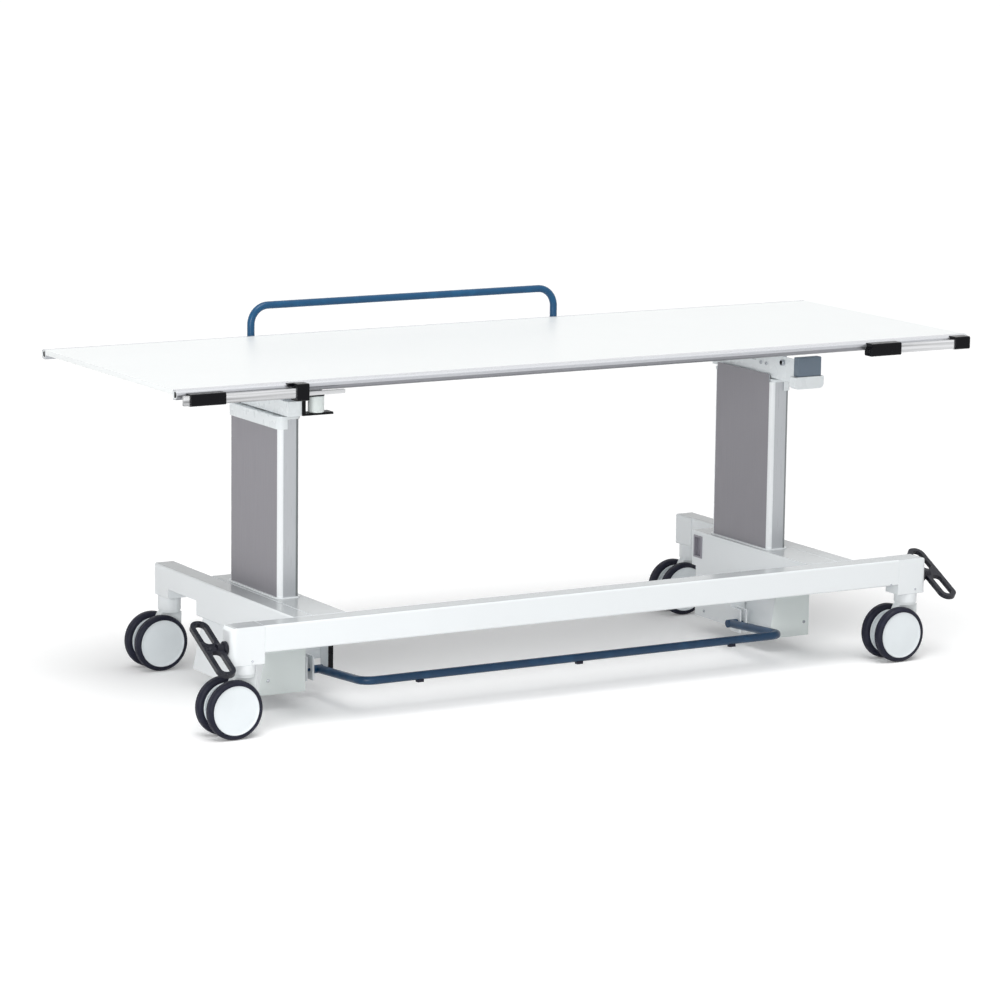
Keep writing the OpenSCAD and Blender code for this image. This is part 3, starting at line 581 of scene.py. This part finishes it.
class TubeRun:
    """Round tube drawn by extruding and spinning one ring."""

    def __init__(self, start: Vector, heading: Vector, diameter: float, segments: int = 28) -> None:
        """Starts the tube with a flat end.

        Args:
            start: centre of the first ring.
            heading: direction of the tube.
            diameter: outside diameter.
            segments: corners of the ring.
        """
        self.shape = bmesh.new()
        self.at = start.copy()
        self.heading = heading.normalized()
        turn = Vector((0, 0, 1)).rotation_difference(self.heading).to_matrix().to_4x4()
        bmesh.ops.create_circle(self.shape, cap_ends=True, segments=segments, radius=diameter / 2,
                                matrix=Matrix.Translation(start) @ turn)
        self.ring = list(self.shape.edges)

    def straight(self, length: float) -> None:
        """Draws the tube straight on.

        Args:
            length: how far, in metres.
        """
        made = bmesh.ops.extrude_edge_only(self.shape, edges=self.ring)["geom"]
        verts = [g for g in made if isinstance(g, bmesh.types.BMVert)]
        bmesh.ops.translate(self.shape, vec=self.heading * length, verts=verts)
        edges = [g for g in made if isinstance(g, bmesh.types.BMEdge)]
        self.ring = [e for e in edges if all(v in verts for v in e.verts)]
        self.at += self.heading * length

    def bend(self, centre: Vector, axis: Vector, degrees: float, steps: int = 14) -> None:
        """Bends the tube about a centre.

        Args:
            centre: centre of the bend.
            axis: axis of the turn.
            degrees: angle of the turn.
            steps: rings along the bend.
        """
        angle = math.radians(degrees)
        made = bmesh.ops.spin(self.shape, geom=self.ring, cent=centre, axis=axis, dvec=(0, 0, 0),
                              angle=angle, steps=steps, use_duplicate=False)["geom_last"]
        self.ring = [g for g in made if isinstance(g, bmesh.types.BMEdge)]
        turn = Matrix.Rotation(angle, 3, axis)
        self.at = centre + turn @ (self.at - centre)
        self.heading = turn @ self.heading

    def close(self, rounding: float) -> bmesh.types.BMesh:
        """Closes the far end and rounds both.

        Args:
            rounding: width of the rounded ends.

        Returns:
            The finished shape.
        """
        bmesh.ops.contextual_create(self.shape, geom=self.ring)
        bmesh.ops.recalc_face_normals(self.shape, faces=self.shape.faces)
        soften(self.shape, rounding, 3)
        return self.shape


@dataclass
class BaseFrame:
    """Welded frame on the floor with its boxes, covers, inlet and screws."""

    cover_screws: tuple[tuple[float, float], ...] = ((-0.8303, 0.0805), (0.8122, 0.0805))
    panel_screws: tuple[tuple[float, float], ...] = ((0.158, 0.060), (0.158, 0.150), (-0.03, 0.060))
    block_screws: tuple[tuple[float, float], ...] = ((-0.9932, 0.1928), (1.0132, 0.1953), (0.9332, 0.2135))
    deck_top: float = 0.2815
    level: float = 0.9

    def build(self) -> None:
        """Dresses the frame's nodes and adds its fasteners."""
        for node, width in (("front_beam", 0.001), ("left_foot_beam", 0.001), ("right_foot_beam", 0.001),
                            ("left_column_box", 0.0006), ("right_column_box", 0.0006),
                            ("corner_blocks", 0.0012)):
            self.decked(node, width)
        for node in ("bar_brackets", "caster_posts"):
            dress(node, width=0.0006)
        dress("box_covers", "cover_white", 0.0006)
        dress("mains_inlet", "inlet_grey", 0.0005)
        self.switch("bar_switch")
        dress("lift_motors", "bare_steel", 0.001)
        self.fasteners()

    def decked(self, node: str, width: float) -> bpy.types.Object:
        """Stands in for a node of the frame, its up-facing deck faces in a greyer copy of the paint as
        painted shade from the board above.

        Args:
            node: the node.
            width: width of its rounded edges in metres.

        Returns:
            The piece.
        """
        return banded(node, width, ["powder_white", "deck_painted_shade"], self.is_deck)

    def is_deck(self, face: bmesh.types.BMFace) -> int:
        """Returns 1 for a face that looks up and isn't above the deck, which takes the painted shade, and 0
        for others.
        """
        return int(face.normal.z > self.level and face.calc_center_median().z < self.deck_top)

    def switch(self, node: str) -> bpy.types.Object:
        """Stands in for the foot bar's switch, black between two painted cheeks."""
        return banded(node, 0.0005, ["black_plastic", "powder_white"],
                      lambda face: int(abs(face.normal.x) > self.level))

    def fasteners(self) -> None:
        """Adds the screws of the covers, the corner blocks and the boxes' side panels."""
        screw = SocketScrew(0.0042, 0.0026, 0.0018)
        cover_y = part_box("box_covers")[0].y
        box_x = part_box("right_column_box")[0].x
        for index, (x, z) in enumerate(self.cover_screws):
            screw.place(f"cover_screw_{index}", Vector((x, cover_y, z)), Vector((0, -1, 0)),
                        "base", "powder_white")
        block_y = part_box("corner_blocks")[0].y
        for index, (x, z) in enumerate(self.block_screws):
            SocketScrew(0.003, 0.002, 0.0014).place(f"block_screw_{index}", Vector((x, block_y, z)),
                                                    Vector((0, -1, 0)), "base", "powder_white")
        for index, (y, z) in enumerate(self.panel_screws):
            for side in SIDES:
                screw.place(f"panel_screw_{index}_{'lr'[side > 0]}", Vector((side * box_x, y, z)),
                            Vector((-side, 0, 0)), "base", "powder_white")


@dataclass
class LiftColumns:
    """Two telescopic columns with their spindles and heads."""

    side_share: float = 0.995
    end_share: float = 0.985

    def build(self) -> None:
        """Dresses the stages, the spindles and the heads."""
        for side in ("left", "right"):
            self.outer(f"{side}_column_outer")
            dress(f"{side}_column_middle", width=0.0006)
            dress(f"{side}_column_inner", width=0.0006)
            dress(f"{side}_spindle", "bare_steel", 0.001)
            dress(f"{side}_lift_head", "member_white", 0.0008)

    def outer(self, node: str) -> bpy.types.Object:
        """Stands in for an outer stage, with finishes of their own on sides and ends, and on the corners
        lighter and darker copies of the end aluminium as painted highlight and painted shade.

        Args:
            node: the outer stage.

        Returns:
            The piece.
        """
        looks = ["column_taupe", "column_highlight_corner", "column_silver", "column_shaded_corner"]
        return banded(node, 0.0006, looks, self.band)

    def band(self, face: bmesh.types.BMFace) -> int:
        """Tells the flat sides, corners towards -X (painted highlight), flat ends and corners towards +X
        (painted shade) apart, from 0 to 3.
        """
        if abs(face.normal.x) > self.side_share:
            return 0
        if max(abs(face.normal.y), abs(face.normal.z)) > self.end_share:
            return 2
        return 1 if face.normal.x < 0 else 3


@dataclass
class Carriage:
    """Cross members, guides, rollers and brakes between the columns and the board."""

    web_screws: tuple[tuple[float, float], ...] = ((-0.088, 0.789), (-0.062, 0.789))
    web_stub: tuple[float, float] = (-0.170, 0.802)
    plain_screws: tuple[tuple[float, float], ...] = ((-0.10, 0.774), (-0.03, 0.774), (0.12, 0.774))
    sleeve_bore: float = 0.0058

    def build(self) -> None:
        """Dresses the carriage and adds the bolts of the cross members."""
        dress("cross_runners", "bare_steel", 0.0008)
        dress("cross_guides", "profile_aluminium", 0.0006)
        for side in ("left", "right"):
            dress(f"{side}_cross_member", "member_white", 0.0008)
        dress("tie_tubes", "profile_aluminium", 0.0006)
        dress("roller_brackets", "bare_steel", 0.0006)
        for node in ("roller_near_left", "roller_near_right", "roller_far_left", "roller_far_right"):
            dress(node, "bare_steel", 0.0012)
        dress("float_brake", "cover_white", 0.002)
        dress("float_brake_bracket", "black_plastic", 0.0006)
        dress("cross_brake_box", width=0.002)
        dress("cross_brake_tray", "member_white", 0.0006)
        self.fasteners()

    def fasteners(self) -> None:
        """Bolts the members' inner faces, and sets the round sleeve on the right member's web."""
        bolt = SocketScrew(0.0050, 0.0036, 0.0025)
        low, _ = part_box("right_cross_member")
        for index, (y, z) in enumerate(self.web_screws):
            bolt.place(f"web_bolt_{index}", Vector((low.x, y, z)), Vector((-1, 0, 0)),
                       "carriage", "bare_steel")
        _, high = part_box("left_cross_member")
        for index, (y, z) in enumerate(self.plain_screws):
            bolt.place(f"member_bolt_{index}", Vector((high.x, y, z)), Vector((1, 0, 0)),
                       "carriage", "bare_steel")
        seat = Vector((low.x, *self.web_stub))
        sleeve = [(0.0, -0.0020), (0.0052, -0.0020), (0.0058, -0.0082), (0.0068, -0.0088),
                  (0.0078, -0.0080), (0.0082, -0.0068), (0.0082, 0.0004), (0.0, 0.0004)]
        stub = turned(sleeve, seat, Axis.X, 32)
        for face in stub.faces:
            face.material_index = int((face.calc_center_median() - seat).yz.length < self.sleeve_bore)
        publish(stub, "web_sleeve", "carriage", "powder_white",
                ["stage_aluminium", "black_plastic"], sharp=50.0)


@dataclass
class Tabletop:
    """Radiolucent board with its edge profiles, plugs and roller guides."""

    recess_rim: float = 0.0018
    recess_depth: float = 0.0014
    holder_round: float = 0.0036
    # Normal heights below which a profile face takes the first and the second step of painted shade.
    half_shade_below: float = 0.55
    shadow_below: float = -0.05

    def build(self) -> None:
        """Dresses the board and what frames it."""
        dress("tabletop_board", width=0.0006)
        self.profiles("edge_profiles")
        self.plugs("edge_plugs")
        dress("table_guides", "profile_aluminium", 0.0004)
        dress("accessory_rails", "rail_chrome", 0.0012)
        self.holders("rail_blocks")
        dress("hand_rail_sockets", width=0.0015)

    def plugs(self, node: str) -> bpy.types.Object:
        """Stands in for the profiles' end plugs, each with a dark recess in its end.

        Args:
            node: the plugs' node.

        Returns:
            The piece.
        """
        shape = copy_of(node)
        soften(shape, 0.0008)
        shape.normal_update()
        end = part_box(node)[1].x - 0.0001
        ends = [f for f in shape.faces if abs(f.normal.x) > 0.99 and abs(f.calc_center_median().x) > end]
        for face in ends:
            bmesh.ops.inset_individual(shape, faces=[face], thickness=self.recess_rim,
                                       depth=-self.recess_depth)
            face.material_index = 1
        return publish(shape, "dressed_" + node, BODY_OF[node], SLOT_OF[node],
                       ["cap_white", "black_plastic"], (node,))

    def holders(self, node: str) -> bpy.types.Object:
        """Stands in for the rail holders, with well rounded front faces.

        Args:
            node: the holders' node.

        Returns:
            The piece.
        """
        shape = copy_of(node)
        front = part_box(node)[0].y + 0.0005
        edges = [e for e in shape.edges if all(v.co.y < front for v in e.verts)]
        bmesh.ops.bevel(shape, geom=edges, offset=self.holder_round, offset_type="OFFSET", segments=4,
                        profile=0.5, affect="EDGES", material=-1, clamp_overlap=True)
        soften(shape, 0.0008)
        return publish(shape, "dressed_" + node, BODY_OF[node], SLOT_OF[node], ["black_plastic"], (node,))

    def profiles(self, node: str) -> bpy.types.Object:
        """Stands in for the edge profiles, bright above, with painted shade in two darker copies of the
        aluminium down the nose.
        """
        return banded(node, 0.0004, ["profile_aluminium", "profile_half_shade", "profile_shadow"],
                      lambda face: (face.normal.z < self.half_shade_below) + (face.normal.z < self.shadow_below))


@dataclass
class HandRail:
    """Blue tube along the far edge."""

    middle_x: float = -0.104
    half: float = 0.469
    z: float = 0.954
    foot_z: float = 0.842
    bend: float = 0.050
    diameter: float = 0.020

    def build(self) -> None:
        """Draws the tube up its left leg, along its top and down its right leg."""
        left, right = self.middle_x - self.half, self.middle_x + self.half
        low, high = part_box("hand_rail")
        y = (low.y + high.y) / 2
        run = TubeRun(Vector((left, y, self.foot_z)), Vector((0, 0, 1)), self.diameter)
        run.straight(self.z - self.bend - self.foot_z)
        run.bend(Vector((left + self.bend, y, self.z - self.bend)), Vector((0, 1, 0)), 90)
        run.straight(2 * (self.half - self.bend))
        run.bend(Vector((right - self.bend, y, self.z - self.bend)), Vector((0, 1, 0)), 90)
        run.straight(self.z - self.bend - self.foot_z)
        # The hand rail takes the lighter copy of the blue paint, which carries painted light.
        publish(run.close(0.001), "hand_rail_tube", "tabletop", "blue_paint", ["rail_blue_lit"], ("hand_rail",))


@dataclass
class FootControls:
    """Brake pedals on their shaft, and the blue foot bar with its bumpers."""

    collar_r: float = 0.018
    collar_l: float = 0.0095
    collar_gap: float = 0.001

    def build(self) -> None:
        """Dresses the pedals, the shaft and the bar."""
        dress("brake_shaft", "shaft_steel", 0.0006)
        dress("brake_pedals", "pedal_black", 0.0022)
        dress("foot_bar", width=0.0008)
        dress("foot_bar_bumpers", width=0.0008)
        self.collars()

    def collars(self) -> None:
        """Puts a round collar on the shaft between each corner block and its pedal."""
        low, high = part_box("brake_shaft")
        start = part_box("corner_blocks")[1].x + self.collar_gap
        r, end = self.collar_r, self.collar_l
        profile = [(0.0, 0.0), (r - 0.001, 0.0), (r, 0.001), (r, end - 0.002), (r - 0.002, end), (0.0, end)]
        for side in SIDES:
            centre = Vector((side * start, (low.y + high.y) / 2, (low.z + high.z) / 2))
            collar = turned([(radius, side * height) for radius, height in profile], centre, Axis.X, 40)
            publish(collar, f"pedal_collar_{'lr'[side > 0]}", "brake_lever", "black_plastic", ["pedal_black"])


@dataclass
class TwinCaster:
    """Fork and twin wheels of one corner."""

    corner: str
    tyre_r: float = 0.075
    disc_r: float = 0.063
    half: float = 0.015
    shoulder: float = 0.011

    def build(self) -> None:
        """Dresses the fork and turns both wheels."""
        dress(f"caster_fork_{self.corner}", width=0.0012)
        for name, side in (("near", -1), ("far", 1)):
            self.wheel(f"wheel_{self.corner}_{name}", side)

    def wheel(self, node: str, side: int) -> bpy.types.Object:
        """Turns one wheel: a white disc with a hub cap, and a round-shouldered tyre.

        Args:
            node: the wheel's node.
            side: side that the disc faces along Y.

        Returns:
            The piece.
        """
        low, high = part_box(node)
        centre = (low + high) / 2
        outer = self.tyre_r - self.shoulder
        tyre = [(self.disc_r + 0.0004, 0.0128), (self.disc_r + 0.0006, 0.0143)]
        tyre += arc(outer, self.half - self.shoulder, self.shoulder, 90, 0)
        tyre += [(self.tyre_r, 0.001), (self.tyre_r - 0.0005, 0.0), (self.tyre_r, -0.001)]
        tyre += arc(outer, self.shoulder - self.half, self.shoulder, 0, -90)
        tyre += [(self.disc_r, -0.0142), (self.disc_r - 0.003, -0.0128), (self.disc_r - 0.003, 0.0128)]
        disc = [(0.0, 0.0138), (0.018, 0.0137), (0.034, 0.0133), (0.052, 0.0126), (0.0575, 0.0124),
                (0.0592, 0.0134), (0.0610, 0.0139), (self.disc_r - 0.0004, 0.0131), (self.disc_r, 0.0118),
                (self.disc_r, -0.0124), (0.056, -0.0130), (0.052, -0.0096), (0.018, -0.0096),
                (0.0165, -0.0140), (0.0072, -0.0145), (0.0, -0.0145)]
        shape = self.mirrored(turned(disc, centre, Axis.Y, 72), centre, side)
        ring = self.mirrored(turned(tyre, centre, Axis.Y, 72, True), centre, side)
        for face in ring.faces:
            face.material_index = 1
        mesh = bpy.data.meshes.new("ring")
        ring.to_mesh(mesh)
        ring.free()
        shape.from_mesh(mesh)
        bpy.data.meshes.remove(mesh)
        return publish(shape, "turned_" + node, BODY_OF[node], SLOT_OF[node],
                       ["disc_white", "tyre_black"], (node,), 38.0)

    @staticmethod
    def mirrored(shape: bmesh.types.BMesh, centre: Vector, side: int) -> bmesh.types.BMesh:
        """Turns a shape about the vertical axis through its centre where its side is negative.

        Args:
            shape: the shape.
            centre: its centre.
            side: the side that it is for, -1 or 1.

        Returns:
            The shape.
        """
        if side < 0:
            bmesh.ops.rotate(shape, cent=centre, matrix=Matrix.Rotation(math.pi, 3, "Z"), verts=shape.verts)
        return shape


@dataclass
class Studio:
    """Camera of the photograph, plain floor and soft light."""

    eye_x: float = -5.552097
    eye_ahead: float = 9.473836
    eye_z: float = 2.402491
    yaw: float = 0.526893
    pitch: float = 0.175909
    roll: float = 0.012213
    lens: float = 150.6
    sensor: float = 36.0
    sky: float = 0.42
    overhead: float = 1.78
    panel: float = 104.0
    overhead_angle: float = 40.0
    overhead_way: tuple[float, float, float] = (0.14, 0.38, -1.0)
    panel_at: tuple[float, float, float] = (-4.4, -3.8, 1.7)
    panel_aim: tuple[float, float, float] = (0.0, 0.0, 0.4)
    panel_size: tuple[float, float] = (2.4, 1.6)
    floor_radius: float = 60.0
    floor_lift: float = 0.1

    def build(self) -> None:
        """Makes the camera, the floor, the world and the lamps."""
        self.camera()
        self.floor()
        self.world()
        self.lamps()
        bpy.context.scene.view_settings.view_transform = "Standard"

    def camera(self) -> None:
        """Sets the camera where the photograph was taken."""
        ahead = Vector((math.sin(self.yaw) * math.cos(self.pitch),
                        math.cos(self.yaw) * math.cos(self.pitch), -math.sin(self.pitch)))
        level = Vector((math.cos(self.yaw), -math.sin(self.yaw), 0))
        above = level.cross(ahead)
        right = math.cos(self.roll) * level + math.sin(self.roll) * above
        up = math.cos(self.roll) * above - math.sin(self.roll) * level
        data = bpy.data.cameras.new("photo_camera")
        data.lens, data.sensor_width = self.lens, self.sensor
        data.clip_start, data.clip_end = 0.1, 300.0
        camera = bpy.data.objects.new("photo_camera", data)
        bpy.context.scene.collection.objects.link(camera)
        low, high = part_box("tabletop_board")
        eye = Vector((self.eye_x, (low.y + high.y) / 2 - self.eye_ahead, self.eye_z))
        camera.matrix_world = Matrix.Translation(eye) @ Matrix((right, up, -ahead)).transposed().to_4x4()
        bpy.context.scene.camera = camera

    @staticmethod
    def seen(tree: bpy.types.NodeTree) -> bpy.types.NodeSocket:
        """Tells camera, glossy and transmission rays from others.

        Args:
            tree: the node tree that asks.

        Returns:
            A value of 1 for those rays and 0 for others.
        """
        path = tree.nodes.new("ShaderNodeLightPath")
        total = path.outputs["Is Camera Ray"]
        for name in ("Is Glossy Ray", "Is Transmission Ray"):
            largest = tree.nodes.new("ShaderNodeMath")
            largest.operation = "MAXIMUM"
            tree.links.new(total, largest.inputs[0])
            tree.links.new(path.outputs[name], largest.inputs[1])
            total = largest.outputs[0]
        return total

    def floor(self) -> None:
        """Lays a wide pale floor that shows white where no shadow falls."""
        material = bpy.data.materials.new("floor_white")
        material.use_nodes = True
        tree = material.node_tree
        tree.nodes.clear()
        mix = tree.nodes.new("ShaderNodeMix")
        mix.data_type = "RGBA"
        mix.inputs[MIX_FIRST].default_value = (0.8, 0.8, 0.8, 1)
        mix.inputs[MIX_SECOND].default_value = (1.0, 1.0, 1.0, 1)
        seen = self.seen(tree)
        tree.links.new(seen, mix.inputs[MIX_FACTOR])
        matt = tree.nodes.new("ShaderNodeBsdfDiffuse")
        tree.links.new(mix.outputs[MIX_RESULT], matt.inputs["Color"])
        lift = tree.nodes.new("ShaderNodeMath")
        lift.operation = "MULTIPLY"
        lift.inputs[1].default_value = self.floor_lift
        tree.links.new(seen, lift.inputs[0])
        glow = tree.nodes.new("ShaderNodeEmission")
        tree.links.new(lift.outputs[0], glow.inputs["Strength"])
        total = tree.nodes.new("ShaderNodeAddShader")
        tree.links.new(matt.outputs[0], total.inputs[0])
        tree.links.new(glow.outputs[0], total.inputs[1])
        out = tree.nodes.new("ShaderNodeOutputMaterial")
        tree.links.new(total.outputs[0], out.inputs["Surface"])
        shape = bmesh.new()
        bmesh.ops.create_circle(shape, cap_ends=True, segments=96, radius=self.floor_radius)
        mesh = bpy.data.meshes.new("floor")
        shape.to_mesh(mesh)
        shape.free()
        mesh.materials.append(material)
        floor = bpy.data.objects.new("floor", mesh)
        bpy.context.scene.collection.objects.link(floor)

    def world(self) -> None:
        """Lights the table from all round, and shows white to the camera and to reflections."""
        world = bpy.data.worlds.new("soft_sky")
        bpy.context.scene.world = world
        world.use_nodes = True
        tree = world.node_tree
        tree.nodes.clear()
        out = tree.nodes.new("ShaderNodeOutputWorld")
        mix = tree.nodes.new("ShaderNodeMixShader")
        tree.links.new(self.seen(tree), mix.inputs[0])
        for socket, strength in ((1, self.sky), (2, 1.0)):
            background = tree.nodes.new("ShaderNodeBackground")
            background.inputs["Color"].default_value = (1, 1, 1, 1)
            background.inputs["Strength"].default_value = strength
            tree.links.new(background.outputs[0], mix.inputs[socket])
        tree.links.new(mix.outputs[0], out.inputs["Surface"])

    def lamps(self) -> None:
        """Adds a wide soft lamp overhead and a large soft panel at the front left."""
        overhead = bpy.data.lights.new("overhead", "SUN")
        overhead.energy, overhead.angle = self.overhead, math.radians(self.overhead_angle)
        self.hang(overhead, Vector((0, 0, 4)), Vector(self.overhead_way))
        panel = bpy.data.lights.new("front_panel", "AREA")
        panel.energy, panel.shape = self.panel, "RECTANGLE"
        panel.size, panel.size_y = self.panel_size
        self.hang(panel, Vector(self.panel_at), Vector(self.panel_aim) - Vector(self.panel_at))

    @staticmethod
    def hang(data: bpy.types.Light, at: Vector, towards: Vector) -> None:
        """Hangs a lamp.

        Args:
            data: the lamp.
            at: its place.
            towards: the direction that it shines in.
        """
        lamp = bpy.data.objects.new(data.name, data)
        lamp.location = at
        lamp.rotation_euler = towards.to_track_quat("-Z", "Y").to_euler()
        bpy.context.scene.collection.objects.link(lamp)


def main() -> None:
    """Builds the studio and the table."""
    logging.basicConfig(level=logging.INFO, format="%(name)s: %(message)s")
    Studio().build()
    assemblies = [BaseFrame(), LiftColumns(), Carriage(), Tabletop(), HandRail(), FootControls()]
    assemblies += [TwinCaster(corner) for corner in ("fl", "fr", "rl", "rr")]
    for assembly in assemblies:
        assembly.build()
        LOG.info("%s is dressed", type(assembly).__name__)


if __name__ == "__main__":
    main()
